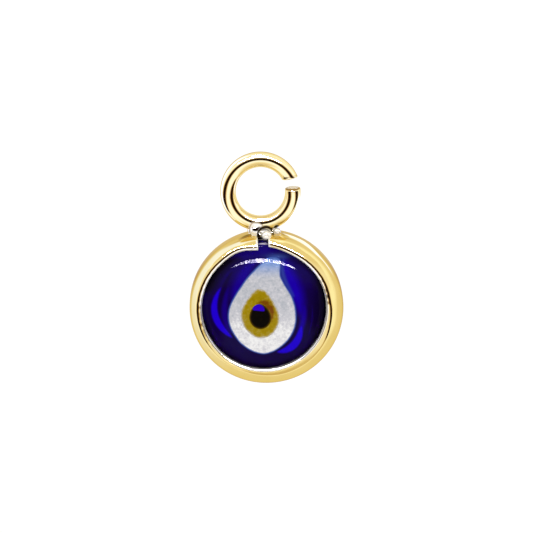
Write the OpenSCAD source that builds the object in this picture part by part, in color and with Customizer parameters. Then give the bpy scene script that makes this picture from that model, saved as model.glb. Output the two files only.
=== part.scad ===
// Evil eye pendant: a domed glass bead in a bezel of bent channel, under an open jump ring.
// It lies on its back: +Z is the way the eye looks, +Y points from the bezel to the ring.
// The origin is under the middle of the whole pendant, on the surface that it lies on.

/* [Bezel] */
// Outside diameter of the round bezel
bezel_d = 8; // [7:0.1:12]
// Thickness of the bezel from back to front
bezel_h = 2.4; // [2:0.1:3.2]
// Thickness of the sheet that the channel is rolled from
sheet_t = 0.35; // [0.25:0.05:0.45]
// Radius of the channel's rounded side, from its middle up to the slope
side_round = 1.15; // [0.9:0.05:1.3]
// Lean of the slope between the side and the crest
slope_lean = 48; // [42:1:56]
// Rounding of the crest that runs beside the front window
crest_round = 0.36; // [0.2:0.02:0.44]
// Rounding of the channel's back edge
edge_round = 0.5; // [0.46:0.02:0.7]
// Width of the front lip that holds the bead
front_lip_w = 0.8; // [0.7:0.05:1.1]
// Width of the back lip
back_lip_w = 0.8; // [0.7:0.05:1.1]
// Rounding of each lip's edge round the window
lip_round = 0.15; // [0.05:0.05:0.3]
// How far the front window sits to the right of the bezel's middle
window_shift_x = -0.13; // [-0.2:0.01:0.2]
// How far the front window sits above the bezel's middle
window_shift_y = 0.18; // [-0.2:0.01:0.2]
// Width of the slot between the channel's two ends
slot_w = 0.54; // [0.3:0.02:0.8]

/* [Jump ring] */
// Inside diameter of the jump ring
ring_inside_d = 2.55; // [2:0.05:4]
// Diameter of the ring's round wire
wire_d = 0.8; // [0.6:0.05:1]
// Film of solder between the ring and the bezel
ring_seat = 0.06; // [0.02:0.02:0.12]
// Direction of the ring's lower end, anticlockwise from the right
lower_end_turn = 2.5; // [-10:0.5:10]
// Direction of the ring's upper end
upper_end_turn = 21; // [15:0.5:40]
// Slope of the lower end's cut
lower_cut_slope = 0; // [-8:1:8]
// How far the lower end's face leans to the front
lower_cut_lean = 9; // [0:1:15]
// Slope of the upper end's cut
upper_cut_slope = 9; // [0:1:20]

/* [Bead] */
// Clearance between the bead and the channel
bead_gap = 0.06; // [0.02:0.01:0.1]
// How far the bead's dome stands above the crest
dome_rise = 0.5; // [0.3:0.05:0.8]
// Rounding of the bead's back edge
bead_round = 0.3; // [0.1:0.05:0.4]
// Clearance round each drop that is let into the glass
inlay_gap = 0.03; // [0.02:0.01:0.05]

/* [Eye] */
// Greatest width of the white drop
white_w = 3.5; // [3:0.1:4]
// Length of the white drop
white_l = 5; // [4.6:0.1:5.4]
// Place of the white drop's middle line, to the right of the bezel's middle
eye_x = -0.25; // [-0.4:0.05:0.2]
// Distance from the bezel's middle down to the white drop's foot
eye_foot = 2.19; // [2:0.05:2.4]
// Width of the white band beside the amber drop
white_side_w = 0.77; // [0.6:0.05:0.9]
// Width of the white band below the amber drop
white_below = 0.91; // [0.7:0.05:1.1]
// Length of the white drop above the amber drop
white_above = 1.49; // [1.2:0.05:1.8]
// How far the amber drop sits to the right of the white drop's middle line
amber_shift = -0.1; // [-0.15:0.05:0.15]
// Width of the amber band beside the pupil
amber_side_w = 0.42; // [0.3:0.02:0.6]
// Width of the amber band below the pupil
amber_below = 0.49; // [0.3:0.02:0.6]
// Length of the amber drop above the pupil
amber_above = 0.77; // [0.6:0.02:0.9]
// Depth of the pupil under the top of the dome
pupil_depth = 0.4; // [0.25:0.05:0.45]
// Thickness of the amber glass under the pupil
amber_bed = 0.3; // [0.2:0.05:0.35]
// Thickness of the white glass under the amber drop
white_bed = 0.3; // [0.2:0.05:0.35]

/* [Hidden] */
$fn = 96;

bezel_r = bezel_d / 2;
front_window_r = bezel_r - front_lip_w;
back_window_r = bezel_r - back_lip_w;
window_offset = norm([window_shift_x, window_shift_y]);
lip_start_r = min(front_window_r - window_offset, back_window_r) - sheet_t / 2;
side_x = bezel_r - side_round;
side_z = bezel_h / 2;

ring_mean_r = (ring_inside_d + wire_d) / 2;
ring_outer_r = ring_inside_d / 2 + wire_d;
ring_y = bezel_r + ring_seat + ring_outer_r;
ring_z = bezel_h / 2;
middle_y = (ring_y + ring_outer_r - bezel_r) / 2;

bead_inset = sheet_t + bead_gap;
dome_top = bezel_h + dome_rise;
dome_sag = dome_top - shoulder(bead_inset)[1];
dome_r = (shoulder(bead_inset)[0] ^ 2 + dome_sag ^ 2) / (2 * dome_sag);

pupil_floor = dome_top - pupil_depth;
amber_floor = pupil_floor - amber_bed;
white_floor = amber_floor - white_bed;
amber_w = white_w - 2 * white_side_w;
amber_l = white_l - white_below - white_above;
pupil_w = amber_w - 2 * amber_side_w;
pupil_l = amber_l - amber_below - amber_above;

// Lumps of solder in the crevice: place beside the slot, radius, height over the ring's
// plane, depth under the crevice, all as shares of the wire's diameter
LUMPS = [
    [-0.45, 0.45, 0.25, 0],
    [-0.60, 0.38, -0.30, 0],
    [0.56, 0.28, 0.05, 0],
    [0.92, 0.26, 0.20, 0],
    [0.75, 0.36, -0.28, 0],
    [0.20, 0.28, 0.60, 0.31]
];

// Outlines of the drops: height as a share of the length, then the reach to the left and
// to the right as shares of half the width
WHITE_SHAPE = [
    [0.00, 0.00, 0.00],
    [0.02, 0.24, 0.25],
    [0.06, 0.45, 0.46],
    [0.13, 0.68, 0.70],
    [0.22, 0.85, 0.88],
    [0.32, 0.97, 0.98],
    [0.42, 1.00, 1.00],
    [0.52, 0.94, 0.97],
    [0.62, 0.79, 0.88],
    [0.72, 0.59, 0.72],
    [0.82, 0.36, 0.60],
    [0.91, 0.08, 0.62],
    [0.97, -0.14, 0.62],
    [1.00, -0.30, 0.48]
];
AMBER_SHAPE = [
    [0.00, 0.00, 0.00],
    [0.03, 0.32, 0.40],
    [0.14, 0.68, 0.74],
    [0.28, 0.91, 0.94],
    [0.42, 1.00, 1.00],
    [0.57, 0.97, 0.92],
    [0.71, 0.79, 0.76],
    [0.85, 0.52, 0.55],
    [0.95, 0.28, 0.34],
    [1.00, 0.00, 0.00]
];
PUPIL_SHAPE = [
    [0.00, 0.00, 0.00],
    [0.06, 0.48, 0.50],
    [0.20, 0.82, 0.84],
    [0.36, 0.98, 1.00],
    [0.52, 1.00, 1.00],
    [0.68, 0.90, 0.90],
    [0.84, 0.70, 0.68],
    [0.95, 0.40, 0.38],
    [1.00, 0.00, 0.00]
];
SPAN_STEPS = 3;
LIP_ROUND_STEPS = 6;

// A drop's corner points: up its right side and down its left
function corners(shape, half_w, length) = [
    for (row = shape) [row[2] * half_w, row[0] * length],
    for (i = [len(shape) - 1 : -1 : 1]) if (shape[i][1] + shape[i][2] != 0)
        [-shape[i][1] * half_w, shape[i][0] * length]
];

// A smooth closed curve through the corner points
function curve_point(a, b, c, d, t) =
    b + (c - a) * t / 2
    + (2 * a - 5 * b + 4 * c - d) * t ^ 2 / 2
    + (3 * b - a - 3 * c + d) * t ^ 3 / 2;
function smoothed(points) = let (n = len(points)) [
    for (i = [0 : n - 1], step = [0 : SPAN_STEPS - 1])
        curve_point(points[(i + n - 1) % n], points[i], points[(i + 1) % n],
            points[(i + 2) % n], step / SPAN_STEPS)
];

// The same outline pushed outward by a clearance
function grown(points, gap) = let (n = len(points)) [
    for (i = [0 : n - 1]) let (
        along = points[(i + 1) % n] - points[(i + n - 1) % n],
        outward = [along[1], -along[0]] / norm(along)
    ) points[i] + gap * outward
];

function placed(points, x, y) = [for (p = points) p + [x, y]];

white_y = -eye_foot;
amber_x = eye_x + amber_shift;
amber_y = white_y + white_below;
pupil_y = amber_y + amber_below;
white_outline = placed(smoothed(corners(WHITE_SHAPE, white_w / 2, white_l)), eye_x, white_y);
amber_outline = placed(smoothed(corners(AMBER_SHAPE, amber_w / 2, amber_l)), amber_x, amber_y);
pupil_outline = placed(smoothed(corners(PUPIL_SHAPE, pupil_w / 2, pupil_l)), amber_x, pupil_y);

// Moves a piece from the bezel's own middle to the pendant's
module from_bezel() {
    translate([0, -middle_y, 0]) children();
}

// Where the rounded side of an inset section meets the slope
function shoulder(inset) = [
    side_x + (side_round - inset) * sin(slope_lean),
    side_z + (side_round - inset) * cos(slope_lean)
];

// Corner points of an inset section's side, from the back up to the shoulder
function side_points(inset, corner) = [
    [bezel_r - inset - corner, inset],
    [bezel_r - inset, inset + corner],
    [bezel_r - inset, side_z],
    shoulder(inset)
];

module quarter_disc(r) {
    intersection() {
        circle(r);
        square(r);
    }
}

// What the roundings add to the straight lines between those corner points
module side_rounds(inset, corner) {
    translate([side_x, side_z]) quarter_disc(side_round - inset);
    translate([bezel_r - inset - corner, inset + corner]) mirror([0, 1]) quarter_disc(corner);
}

// Half section of the channel, or of its hollow when it is drawn inset
module channel_section(inset, crest) {
    start = lip_start_r - inset;
    top = bezel_h - inset;
    crest_x = side_x
        + (side_round - inset - crest - cos(slope_lean) * (top - side_z - crest)) / sin(slope_lean);
    intersection() {
        translate([start, inset]) square([bezel_r - start, top - inset]);
        union() {
            polygon([
                [start, inset],
                each side_points(inset, edge_round - inset),
                [crest_x + crest * sin(slope_lean), top - crest * (1 - cos(slope_lean))],
                [crest_x, top],
                [start, top]
            ]);
            side_rounds(inset, edge_round - inset);
            if (crest > 0) translate([crest_x, top - crest]) quarter_disc(crest);
        }
    }
}

// What a window takes out of the lip under the level z = 0, with the rounding of its edge
module window_cutter(window_r) {
    rotate_extrude() polygon([
        [0, -sheet_t * 2],
        [window_r, -sheet_t * 2],
        for (turn = [0 : 90 / LIP_ROUND_STEPS : 90])
            [window_r + lip_round * (1 - cos(turn)), lip_round * (sin(turn) - 1)],
        [window_r + lip_round, sheet_t],
        [0, sheet_t]
    ]);
}

module bezel() {
    difference() {
        rotate_extrude() difference() {
            channel_section(0, crest_round);
            channel_section(sheet_t, 0);
        }
        translate([window_shift_x, window_shift_y, bezel_h]) window_cutter(front_window_r);
        mirror([0, 0, 1]) window_cutter(back_window_r);
        translate([-slot_w / 2, 0, -bezel_h]) cube([slot_w, bezel_d, 3 * bezel_h]);
    }
}

// A block whose lower face is the cut through the wire at one direction of the ring
module cut_block(turn, slope, lean) {
    reach = ring_inside_d / 2;
    rotate([0, 0, turn]) translate([ring_mean_r, 0, 0]) rotate([0, 0, slope - turn])
        rotate([lean, 0, 0]) translate([-reach, 0, -reach]) cube(2 * reach);
}

module jump_ring() {
    translate([0, ring_y, ring_z]) difference() {
        rotate_extrude() translate([ring_mean_r, 0]) circle(wire_d / 2);
        difference() {
            cut_block(lower_end_turn, lower_cut_slope, lower_cut_lean);
            cut_block(upper_end_turn, upper_cut_slope, 0);
        }
    }
}

module solder() {
    for (lump = LUMPS) {
        x = lump[0] * wire_d;
        bezel_edge = sqrt(bezel_r ^ 2 - x ^ 2);
        ring_edge = ring_y - sqrt(ring_outer_r ^ 2 - x ^ 2);
        crevice_y = (bezel_edge + ring_edge) / 2;
        translate([x, crevice_y - lump[3] * wire_d, ring_z + lump[2] * wire_d])
            sphere(lump[1] * wire_d);
    }
}

module setting() {
    color("#e8cd7c") from_bezel() {
        bezel();
        jump_ring();
        solder();
    }
}

// Everything under the dome's surface
module under_dome() {
    translate([0, 0, dome_top - dome_r]) sphere(dome_r, $fn = 200);
}

module inlay(outline, floor_z) {
    intersection() {
        translate([0, 0, floor_z]) linear_extrude(dome_top) polygon(outline);
        under_dome();
    }
}

module pocket(outline, floor_z) {
    translate([0, 0, floor_z - inlay_gap]) linear_extrude(dome_top)
        polygon(grown(outline, inlay_gap));
}

module bead_blank() {
    intersection() {
        rotate_extrude() {
            polygon([
                [0, bead_inset],
                each side_points(bead_inset, bead_round),
                [shoulder(bead_inset)[0], dome_top],
                [0, dome_top]
            ]);
            side_rounds(bead_inset, bead_round);
        }
        under_dome();
    }
}

module glass_bead() {
    color("#14046e") from_bezel() difference() {
        bead_blank();
        pocket(white_outline, white_floor);
    }
}

module white_drop() {
    color("#d5d3da") from_bezel() difference() {
        inlay(white_outline, white_floor);
        pocket(amber_outline, amber_floor);
    }
}

module amber_drop() {
    color("#9b8200") from_bezel() difference() {
        inlay(amber_outline, amber_floor);
        pocket(pupil_outline, pupil_floor);
    }
}

module pupil() {
    color("#0c0a10") from_bezel() inlay(pupil_outline, pupil_floor);
}

setting();
glass_bead();
white_drop();
amber_drop();
pupil();
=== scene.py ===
"""Looks of the evil eye pendant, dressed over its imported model. Lengths are in metres."""
import math

import bpy
import numpy as np
from mathutils import Matrix, Vector


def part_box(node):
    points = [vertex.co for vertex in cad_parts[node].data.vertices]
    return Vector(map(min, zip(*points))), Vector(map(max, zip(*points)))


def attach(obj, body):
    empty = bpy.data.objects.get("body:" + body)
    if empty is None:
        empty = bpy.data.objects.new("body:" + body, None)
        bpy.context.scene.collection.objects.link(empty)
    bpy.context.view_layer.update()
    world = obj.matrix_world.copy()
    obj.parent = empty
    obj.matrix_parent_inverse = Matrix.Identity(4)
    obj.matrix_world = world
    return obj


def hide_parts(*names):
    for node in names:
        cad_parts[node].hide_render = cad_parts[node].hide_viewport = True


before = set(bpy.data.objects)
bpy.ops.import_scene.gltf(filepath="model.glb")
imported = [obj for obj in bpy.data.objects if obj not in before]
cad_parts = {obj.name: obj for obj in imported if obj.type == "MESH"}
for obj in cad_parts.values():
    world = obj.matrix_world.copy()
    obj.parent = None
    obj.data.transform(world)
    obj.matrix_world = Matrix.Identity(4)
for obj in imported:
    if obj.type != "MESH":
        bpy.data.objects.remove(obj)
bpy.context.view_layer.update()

MM = 0.001

# The frame's own sizes
setting_low, setting_high = (np.array(corner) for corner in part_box("setting"))
bead_low, bead_high = (np.array(corner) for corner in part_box("glass_bead"))
BEZEL_R = min(setting_high[0], -setting_low[0])
BEZEL_H = setting_high[2]
BEZEL_AT = np.array([0.0, (bead_low[1] + bead_high[1]) / 2, 0.0])
BEAD_BACK = bead_low[2]
RING_TOP = setting_high[1] - BEZEL_AT[1]

# Bezel
SHEET = 0.35 * MM
EDGE_ROUND = 0.5 * MM
SIDE_ROUND = 1.15 * MM
SIDE_X, SIDE_Z = BEZEL_R - SIDE_ROUND, BEZEL_H / 2
SLOPE_LEAN = math.radians(48)
SLOPE_CROWN = math.radians(3.5)
SLOPE_WANDER = math.radians(1.6)
LIP_W = 0.8 * MM
LIP_ROUND = 0.12 * MM
LIP_FLAT = 0.02 * MM
CREST_LEAST = 0.26 * MM
SLOT_W = 0.54 * MM
CUT_RIM = 0.03 * MM
WINDOW_R = BEZEL_R - LIP_W
WINDOW_SHIFT = np.array([-0.13, 0.18]) * MM
WINDOW_WAVER, WINDOW_RIPPLE = 0.008 * MM, 0.006 * MM
# Where the window's edge sags inward: direction and spread in degrees, depth in millimetres
WINDOW_SAGS = [(90, 12, 0.14), (130, 25, 0.055), (425, 24, 0.10)]
# The lip's painted edge highlight: how far it reaches from the window and from the slot, and its
# strength
EDGE_HIGHLIGHT_W = 0.16 * MM
SLOT_HIGHLIGHT_REACH = (0.05 * MM, 0.11 * MM)
EDGE_HIGHLIGHT_SHARE = 0.5

# Jump ring
WIRE_R = 0.4 * MM
RING_INSIDE_R = 1.275 * MM
RING_R = RING_INSIDE_R + WIRE_R
RING_AT = np.array([0.0, RING_TOP - RING_R - WIRE_R, BEZEL_H / 2])
LOWER_END = math.radians(2.5)
UPPER_END = math.radians(21)
LOWER_CUT_SLOPE = 0.0
LOWER_CUT_LEAN = math.radians(9)
UPPER_CUT_SLOPE = math.radians(9)
RING_END_ROUND = 0.05 * MM
# Loops in the end faces by their distance from the wire's side, for the paint
RING_FACE_LOOPS = np.array([0.34, 0.25, 0.18, 0.11]) * MM

# Solder: each lump's place beside the slot, distance from the bezel's axis, height over the
# ring's plane and radius, all in millimetres
LUMPS = [
    (-0.36, 4.18, 0.27, 0.30), (-0.50, 4.06, -0.24, 0.29), (0.45, 4.04, 0.02, 0.19),
    (0.76, 4.02, 0.30, 0.21), (0.60, 4.06, -0.22, 0.28), (0.19, 3.91, 0.53, 0.24),
    (-0.18, 3.80, -0.05, 0.23),
]
LUMP_FILLET, WIRE_FILLET = 0.06 * MM, 0.12 * MM
LUMP_RIPPLE = 0.012 * MM
LUMP_WAVES = np.array([0.09, 0.11, 0.1]) * MM
SOLDER_SINK = 0.008 * MM
# A ball and a box that hold all of the solder, and the grid's step in them
SOLDER_MIDDLE, SOLDER_REACH = np.array([0.05, 4.05, 1.2]) * MM, 1.15 * MM
SOLDER_LOW, SOLDER_HIGH = np.array([-1.3, 3.3, 0.3]) * MM, np.array([1.4, 5.0, 2.1]) * MM
SOLDER_STEP = 0.02 * MM

# Bead
GLASS_GAP = 0.03 * MM
BEAD_GAP = 0.06 * MM
BEAD_R = BEZEL_R - SHEET - BEAD_GAP
BEAD_ROUND = 0.3 * MM
GIRDLE_ROUND = SIDE_ROUND - SHEET - BEAD_GAP
DOME_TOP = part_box("pupil")[1][2]
DOME_FOOT_R = SIDE_X + GIRDLE_ROUND * math.sin(SLOPE_LEAN)
DOME_SAG = DOME_TOP - SIDE_Z - GIRDLE_ROUND * math.cos(SLOPE_LEAN)
DOME_R = (DOME_FOOT_R ** 2 + DOME_SAG ** 2) / (2 * DOME_SAG)
DOME_EDGE_R = DOME_FOOT_R - 0.1 * MM
SEAM = 0.003 * MM

# Eye: the drops' sizes and places, and their floors under the top of the dome
WHITE_W, WHITE_L = 3.5 * MM, 5.0 * MM
WHITE_FOOT = np.array([-0.25, -2.19]) * MM
AMBER_W, AMBER_L = 1.96 * MM, 2.6 * MM
AMBER_FOOT = np.array([-0.35, -1.28]) * MM
PUPIL_W, PUPIL_L = 1.12 * MM, 1.34 * MM
PUPIL_FOOT = np.array([-0.35, -0.79]) * MM
PUPIL_DEPTH, AMBER_DEPTH, WHITE_DEPTH = 0.4 * MM, 0.7 * MM, 1.0 * MM

# Outlines: height as a share of the length, reach to the left and right of half the width
WHITE_SHAPE = [
    (0.00, 0.00, 0.00), (0.02, 0.24, 0.25), (0.06, 0.45, 0.46), (0.13, 0.68, 0.70),
    (0.22, 0.85, 0.88), (0.32, 0.97, 0.98), (0.42, 1.00, 1.00), (0.52, 0.94, 0.97),
    (0.62, 0.79, 0.88), (0.72, 0.59, 0.72), (0.82, 0.36, 0.60), (0.91, 0.08, 0.62),
    (0.97, -0.14, 0.62), (1.00, -0.30, 0.48),
]
AMBER_SHAPE = [
    (0.00, 0.00, 0.00), (0.03, 0.32, 0.40), (0.14, 0.68, 0.74), (0.28, 0.91, 0.94),
    (0.42, 1.00, 1.00), (0.57, 0.97, 0.92), (0.71, 0.79, 0.76), (0.85, 0.52, 0.55),
    (0.95, 0.28, 0.34), (1.00, 0.00, 0.00),
]
PUPIL_SHAPE = [
    (0.00, 0.00, 0.00), (0.06, 0.48, 0.50), (0.20, 0.82, 0.84), (0.36, 0.98, 1.00),
    (0.52, 1.00, 1.00), (0.68, 0.90, 0.90), (0.84, 0.70, 0.68), (0.95, 0.40, 0.38),
    (1.00, 0.00, 0.00),
]

# View: the pendant as the photograph shows it
IMAGE_SIDE = 533
PIXELS_PER_M = 19.25 / MM
BEZEL_PIXEL = (266.5, 307.3)
VIEW_TILT = math.radians(11.5)
VIEW_ROLL = math.radians(3.0)
VIEW_DISTANCE = 0.2
SENSOR = 36.0


def add_mesh(name, points, faces, material, sharp_angle=math.radians(35)):
    """A smooth-shaded mesh piece that rides on the pendant's one body."""
    mesh = bpy.data.meshes.new(name)
    mesh.from_pydata([tuple(p) for p in points], [], faces)
    mesh.validate()
    mesh.update()
    for polygon in mesh.polygons:
        polygon.use_smooth = True
    mesh.set_sharp_from_angle(angle=sharp_angle)
    piece = bpy.data.objects.new(name, mesh)
    bpy.context.scene.collection.objects.link(piece)
    piece.data.materials.append(material)
    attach(piece, "root")
    return piece


def stacked(name, loops, material):
    """A closed piece from stacked loops round the bezel's axis, closed at the first and last."""
    size = len(loops[0])
    last = size * (len(loops) - 1)
    faces = []
    for a in range(0, last, size):
        b = a + size
        for i in range(size):
            j = (i + 1) % size
            faces.append((a + i, a + j, b + j, b + i))
    faces.append(tuple(reversed(range(size))))
    faces.append(tuple(range(last, last + size)))
    return add_mesh(name, np.concatenate(loops) + BEZEL_AT, faces, material)


def arc(centre, radius, start, end, steps):
    """Points of an arc, with both ends."""
    turns = np.radians(np.linspace(start, end, steps + 1))
    return [(centre[0] + radius * math.cos(t), centre[1] + radius * math.sin(t)) for t in turns]


def inset_loop(loop, distance):
    """A closed section moved inward by a distance; its corners run anticlockwise."""
    along = np.roll(loop, -1, axis=0) - np.roll(loop, 1, axis=0)
    inward = np.stack([-along[:, 1], along[:, 0]], axis=1)
    inward /= np.linalg.norm(inward, axis=1)[:, None]
    return loop + distance * inward


def wander(turns, seed, waves, size):
    """A smooth closed random line: a few sine waves of seeded height and phase."""
    rng = np.random.RandomState(seed)
    total = np.zeros_like(turns)
    for wave in waves:
        total += rng.uniform(0.4, 1.0) * np.sin(wave * turns + rng.uniform(0, 2 * math.pi))
    return size * total / len(waves)


def window_reach(turn):
    """Distance from the bezel's axis to the window's edge, for turns of 90 to 450 degrees."""
    direction = np.array([math.cos(turn), math.sin(turn)])
    along = WINDOW_SHIFT @ direction
    reach = along + math.sqrt(WINDOW_R ** 2 - WINDOW_SHIFT @ WINDOW_SHIFT + along ** 2)
    sag = 0
    for middle, spread, depth in WINDOW_SAGS:
        sag += depth * np.exp(-((np.degrees(turn) - middle) / spread) ** 2)
    return reach - sag * MM


def off_window(points):
    """How far out of the front window's edge points lie; they are taken from the bezel's axis."""
    turns = np.arctan2(points[:, 1], points[:, 0])
    turns = math.pi / 2 + (turns - math.pi / 2) % (2 * math.pi)
    edges = np.array([window_reach(turn) for turn in turns])
    return np.hypot(points[:, 0], points[:, 1]) - edges


def channel_section(front_reach, back_reach, lean):
    """The channel's cut outline as (radius, height) points, anticlockwise."""
    lean_sin, lean_cos = math.sin(lean), math.cos(lean)
    slope_at = SIDE_X * lean_sin + SIDE_Z * lean_cos + SIDE_ROUND
    crest_x = front_reach + LIP_ROUND
    crest = (slope_at - crest_x * lean_sin - BEZEL_H * lean_cos) / (1 - lean_cos)
    crest = max(crest, CREST_LEAST)
    crest_z = min(BEZEL_H - crest, (slope_at - crest - crest_x * lean_sin) / lean_cos)
    top = crest_z + crest
    under = slope_at - SHEET
    fold_x = max(front_reach + LIP_FLAT, (under - (top - SHEET) * lean_cos) / lean_sin)
    slope_turn = 90 - math.degrees(lean)
    crown = math.degrees(SLOPE_CROWN)
    corner = BEZEL_R - EDGE_ROUND
    points = arc((back_reach + LIP_ROUND, LIP_ROUND), LIP_ROUND, 180, 270, 8)
    points += arc((corner, EDGE_ROUND), EDGE_ROUND, -90, 0, 14)
    points += arc((SIDE_X, SIDE_Z), SIDE_ROUND, 0, slope_turn - crown, 16)
    over_crest = arc((crest_x, crest_z), crest, slope_turn + crown, 90, 14)
    foot, up_slope = np.array(points[-1]), np.array(over_crest[0]) - np.array(points[-1])
    bulge = np.linalg.norm(up_slope) * math.tan(SLOPE_CROWN / 2) / 2
    bulge = bulge * np.array([lean_sin, lean_cos])
    for share in np.linspace(0, 1, 9)[1:-1]:
        points += [tuple(foot + up_slope * share + bulge * 4 * share * (1 - share))]
    points += over_crest
    points += arc((crest_x, top - LIP_ROUND), LIP_ROUND, 99, 180, 9)
    for x in (front_reach, fold_x):
        points += [(x, min(top - SHEET, (under - x * lean_sin) / lean_cos))]
    points += arc((SIDE_X, SIDE_Z), SIDE_ROUND - SHEET, slope_turn, 0, 8)
    points += arc((corner, EDGE_ROUND), EDGE_ROUND - SHEET, 0, -90, 6)
    points += [(back_reach, SHEET)]
    return np.array(points)


def sweep_rows(ends, retreat, steps):
    """Sections of a sweep as (share of the way, retreat from its end, shrink)."""
    rows = [(0.0, *end) for end in ends]
    rows += [(share, retreat, 0.0) for share in np.linspace(0, 1, steps + 1)[1:-1]]
    return rows + [(1.0, *end) for end in reversed(ends)]


def turned(section, turns):
    """Points of a (radius, height) section, each turned round the axis to its own direction."""
    radii, heights = section.T
    return np.stack([radii * np.cos(turns), radii * np.sin(turns), heights], axis=1)


def make_bezel(material):
    """The bent channel: its section swept round the bead from one slot wall to the other."""
    sweep_steps = 360
    # The slot's walls lie back a little within a fine raised rim
    end_turns = np.radians([0, 30, 60, 90])
    ends = [(CUT_RIM * (1 - math.sin(t)), CUT_RIM * (1 - math.cos(t))) for t in end_turns]
    shares = np.linspace(0, 1, sweep_steps + 1)
    around = np.radians(90) + shares * 2 * math.pi
    wobble = wander(around, 4, [5, 9, 13], WINDOW_WAVER)
    wobble += wander(around, 9, [31, 47, 68], WINDOW_RIPPLE)
    leans = SLOPE_LEAN + wander(around, 12, [2, 3, 5, 8, 13], SLOPE_WANDER)
    loops = []
    for share, retreat, shrink in sweep_rows(ends, CUT_RIM, sweep_steps):
        turn = math.radians(90) + share * 2 * math.pi
        reach = window_reach(turn) + np.interp(share, shares, wobble)
        section = channel_section(reach, WINDOW_R, np.interp(share, shares, leans))
        if shrink:
            section = inset_loop(section, shrink)
        half_gap = np.arcsin((SLOT_W / 2 + retreat) / section[:, 0])
        turns = math.radians(90) + half_gap + share * (2 * math.pi - 2 * half_gap)
        loops.append(turned(section, turns))
    piece = stacked("bezel", loops[::-1], material)
    paint_metal(piece, painted_edge_highlight(piece))
    return piece


def painted_edge_highlight(piece):
    """How much painted highlight lies on the front lip's edges and beside the slot, on each of a
    piece's points.
    """
    points = mesh_points(piece)
    normals = np.empty(points.size, np.float32)
    piece.data.vertices.foreach_get("normal", normals)
    upright = smooth_step(normals.reshape(-1, 3)[:, 2], 0.90, 0.98)
    from_window = off_window(points - BEZEL_AT)
    on_top = upright * (1 - smooth_step(from_window, 0.6 * EDGE_HIGHLIGHT_W, EDGE_HIGHLIGHT_W))
    inside = 1 - smooth_step(from_window, 0.4 * LIP_ROUND, 0.8 * LIP_ROUND)
    from_slot = np.abs(points[:, 0]) - SLOT_W / 2
    at_slot = (1 - smooth_step(from_slot, *SLOT_HIGHLIGHT_REACH)) * (points[:, 1] > BEZEL_AT[1])
    # Painted highlight: pale along the window's edge and beside the slot
    edge_highlight = np.maximum(EDGE_HIGHLIGHT_SHARE * np.maximum(on_top, inside), at_slot)
    return edge_highlight * (points[:, 2] > SIDE_Z)


def cut_turns(radii, end_turn, slope, retreat):
    """Where circles round the ring's middle meet a cut that is drawn back by a distance."""
    middle = RING_R * np.array([math.cos(end_turn), math.sin(end_turn)])
    distance = middle[1] * math.cos(slope) - middle[0] * math.sin(slope) + retreat
    return slope + np.arcsin(distance / radii)


def make_ring(material):
    """The open jump ring: a round section swept from the upper cut round to the lower one."""
    wire_steps, sweep_steps, first_turn = 56, 300, math.radians(1)
    wire_turns = np.linspace(0, 2 * math.pi, wire_steps, endpoint=False) + first_turn
    circle = np.stack([np.cos(wire_turns), np.sin(wire_turns)], axis=1)
    end_turns = np.radians([0, 22, 45, 68, 90])
    ends = [(0.0, shrink) for shrink in RING_FACE_LOOPS]
    ends += [
        (RING_END_ROUND * (1 - math.cos(t)), RING_END_ROUND * (1 - math.sin(t))) for t in end_turns
    ]
    loops = []
    for share, retreat, shrink in sweep_rows(ends, RING_END_ROUND, sweep_steps):
        section = circle * (WIRE_R - shrink) + np.array([RING_R, 0.0])
        first = cut_turns(section[:, 0], UPPER_END, UPPER_CUT_SLOPE, retreat)
        lower = retreat / math.cos(LOWER_CUT_LEAN) + section[:, 1] * math.tan(LOWER_CUT_LEAN)
        last = cut_turns(section[:, 0], LOWER_END, LOWER_CUT_SLOPE, -lower) + 2 * math.pi
        turns = first + share * (last - first)
        loops.append(turned(section, turns) + RING_AT)
    piece = stacked("jump_ring", loops[::-1], material)
    paint_metal(piece, 0.0)
    return piece


def surface_net(field, low, step):
    """A closed mesh of a sampled field's zero surface, with a vertex in each crossed cell."""
    inside = field < 0
    counts = np.array(field.shape) - 1
    offsets = np.indices((2, 2, 2)).reshape(3, 8).T
    edges = [(a, b) for i, a in enumerate(offsets) for b in offsets[i:] if abs(b - a).sum() == 1]

    def corner(values, offset):
        return values[tuple(slice(o, o + n) for o, n in zip(offset, counts))]

    total = np.zeros((*counts, 3))
    crossings = np.zeros(counts)
    for a, b in edges:
        value_a, value_b = corner(field, a), corner(field, b)
        crossed = corner(inside, a) != corner(inside, b)
        share = np.where(crossed, value_a / np.where(crossed, value_a - value_b, 1.0), 0.0)
        point = a + share[..., None] * (b - a)
        total += np.where(crossed[..., None], point, 0.0)
        crossings += crossed
    used = crossings > 0
    cells = np.argwhere(used)
    number = -np.ones(counts, int)
    number[used] = np.arange(len(cells))
    points = low + step * (cells + total[used] / crossings[used][:, None])

    faces = []
    for axis in range(3):
        u, v = (axis + 1) % 3, (axis + 2) % 3
        for cell in np.argwhere(np.diff(inside, axis=axis)):
            if cell[u] == 0 or cell[v] == 0 or cell[u] >= counts[u] or cell[v] >= counts[v]:
                continue
            around = []
            for du, dv in ((-1, -1), (0, -1), (0, 0), (-1, 0)):
                at = cell.copy()
                at[u] += du
                at[v] += dv
                around.append(int(number[tuple(at)]))
            faces.append(tuple(around if inside[tuple(cell)] else reversed(around)))
    return points, faces


def smooth_least(a, b, blend):
    """The lesser of two fields, with the crease between them filled."""
    mix = np.clip(0.5 + 0.5 * (b - a) / blend, 0, 1)
    return b + (a - b) * mix - blend * mix * (1 - mix)


def ball(x, y, z, centre, radius):
    """Distance of places to a ball's surface."""
    return np.sqrt((x - centre[0]) ** 2 + (y - centre[1]) ** 2 + (z - centre[2]) ** 2) - radius


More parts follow.
